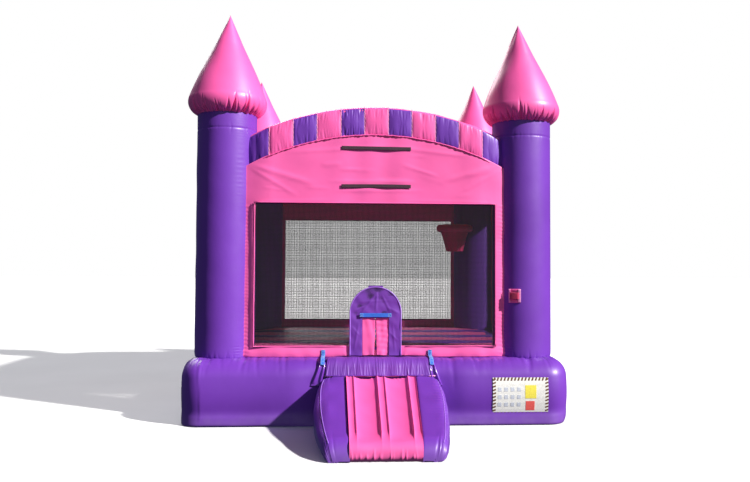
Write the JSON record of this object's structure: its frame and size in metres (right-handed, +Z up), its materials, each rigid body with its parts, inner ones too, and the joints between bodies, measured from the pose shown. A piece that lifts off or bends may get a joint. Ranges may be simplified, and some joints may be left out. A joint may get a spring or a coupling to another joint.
{
  "type": "inflatable bounce house",
  "caption": "Castle-shaped inflatable bounce house with corner towers, netted walls, an arched flap door and an entrance ramp.",
  "frame": {"origin": "centre of the base's underside, on the ground", "axes": "+Z up, -Y towards the entrance and its ramp, +X to the right of somebody looking at the entrance"},
  "size_m": [3.936, 6.33, 4.1792],
  "materials": {
    "purple_vinyl": "glossy coated vinyl",
    "pink_vinyl": "glossy coated vinyl",
    "grey_vinyl": "matt coated vinyl",
    "black_net": "knotless mesh netting",
    "hook_tape": "hook-and-loop tape",
    "blue_webbing": "woven webbing",
    "black_webbing": "woven webbing",
    "pink_webbing": "woven webbing",
    "ring_steel": "zinc plated",
    "placard_vinyl": "printed vinyl",
    "buckle_plastic": "moulded"
  },
  "bodies": {
    "house": {"anchor_loops": "black_webbing", "anchor_patches": "purple_vinyl", "back_arch_pink": "pink_vinyl", "back_arch_purple": "purple_vinyl", "back_arch_sleeve": "pink_vinyl", "back_fascia": "pink_vinyl", "back_netting": "black_net", "base_baffles": "grey_vinyl", "base_skin": "purple_vinyl", "column_back_left": "purple_vinyl", "column_back_right": "purple_vinyl", "column_front_left": "purple_vinyl", "column_front_right": "purple_vinyl", "door_header": "blue_webbing", "door_surround": "purple_vinyl", "front_arch_pink": "pink_vinyl", "front_arch_purple": "purple_vinyl", "front_arch_sleeve": "pink_vinyl", "front_fascia": "pink_vinyl", "front_netting": "black_net", "ground_sheet": "grey_vinyl", "hook_strips": "hook_tape", "hoop_net": "pink_vinyl", "hoop_ring": "pink_vinyl", "inflation_tube": "purple_vinyl", "jump_bed_pink": "pink_vinyl", "jump_bed_purple": "purple_vinyl", "left_beam_sleeve": "pink_vinyl", "left_fascia": "pink_vinyl", "left_netting": "black_net", "placard": "placard_vinyl", "ramp_apron": "purple_vinyl", "ramp_tabs": "blue_webbing", "ramp_tongues": "purple_vinyl", "right_beam_sleeve": "pink_vinyl", "right_fascia": "pink_vinyl", "right_netting": "black_net", "roof_cover": "pink_vinyl", "side_beam_pink": "pink_vinyl", "side_beam_purple": "purple_vinyl", "spire_back_left": "pink_vinyl", "spire_back_right": "pink_vinyl", "spire_front_left": "pink_vinyl", "spire_front_right": "pink_vinyl", "tether_loop": "pink_webbing", "tether_patch": "pink_vinyl", "tie_strap_buckle": "buckle_plastic", "tube_tie_strap": "black_webbing", "zip_surround": "purple_vinyl"},
    "ramp": {"ramp_left_bolster": "purple_vinyl", "ramp_right_bolster": "purple_vinyl", "ramp_channels": "pink_vinyl"},
    "door_flap_left": {"door_flap_left": "pink_vinyl"},
    "door_flap_right": {"door_flap_right": "pink_vinyl"},
    "zip_slider": {"zip_slider": "buckle_plastic"},
    "zip_flap": {"zip_flap": "purple_vinyl"},
    "ring_front_left": {"anchor_ring_front_left": "ring_steel"},
    "ring_front_right": {"anchor_ring_front_right": "ring_steel"},
    "ring_back_left": {"anchor_ring_back_left": "ring_steel"},
    "ring_back_right": {"anchor_ring_back_right": "ring_steel"}
  },
  "joints": [
    {"name": "ramp_tilt", "type": "hinge", "parent": "house", "child": "ramp", "pos_m": [0.04, -2.015, 0.48], "axis": [-1, 0, 0], "range_deg": [0, 70]},
    {"name": "door_flap_left_swing", "type": "hinge", "parent": "house", "child": "door_flap_left", "pos_m": [-0.131, -1.792, 0.8425], "axis": [0, 0, -1], "range_deg": [-80, 100]},
    {"name": "door_flap_right_swing", "type": "hinge", "parent": "house", "child": "door_flap_right", "pos_m": [0.131, -1.792, 0.8425], "axis": [0, 0, 1], "range_deg": [-80, 100]},
    {"name": "zip_slide", "type": "slide", "parent": "house", "child": "zip_slider", "axis": [-1, 0, 0], "range_m": [0, 0.54]},
    {"name": "zip_flap_lift", "type": "hinge", "parent": "house", "child": "zip_flap", "pos_m": [-0.7, 2.021, 0.355], "axis": [1, 0, 0], "range_deg": [0, 105]},
    {"name": "ring_front_left_swing", "type": "hinge", "parent": "house", "child": "ring_front_left", "pos_m": [-1.9585, -1.5, 0.18], "axis": [0, 1, 0], "range_deg": [0, 120]},
    {"name": "ring_front_right_swing", "type": "hinge", "parent": "house", "child": "ring_front_right", "pos_m": [1.9585, -1.5, 0.18], "axis": [0, -1, 0], "range_deg": [0, 120]},
    {"name": "ring_back_left_swing", "type": "hinge", "parent": "house", "child": "ring_back_left", "pos_m": [-1.9585, 1.5, 0.18], "axis": [0, 1, 0], "range_deg": [0, 120]},
    {"name": "ring_back_right_swing", "type": "hinge", "parent": "house", "child": "ring_back_right", "pos_m": [1.9585, 1.5, 0.18], "axis": [0, -1, 0], "range_deg": [0, 120]}
  ]
}
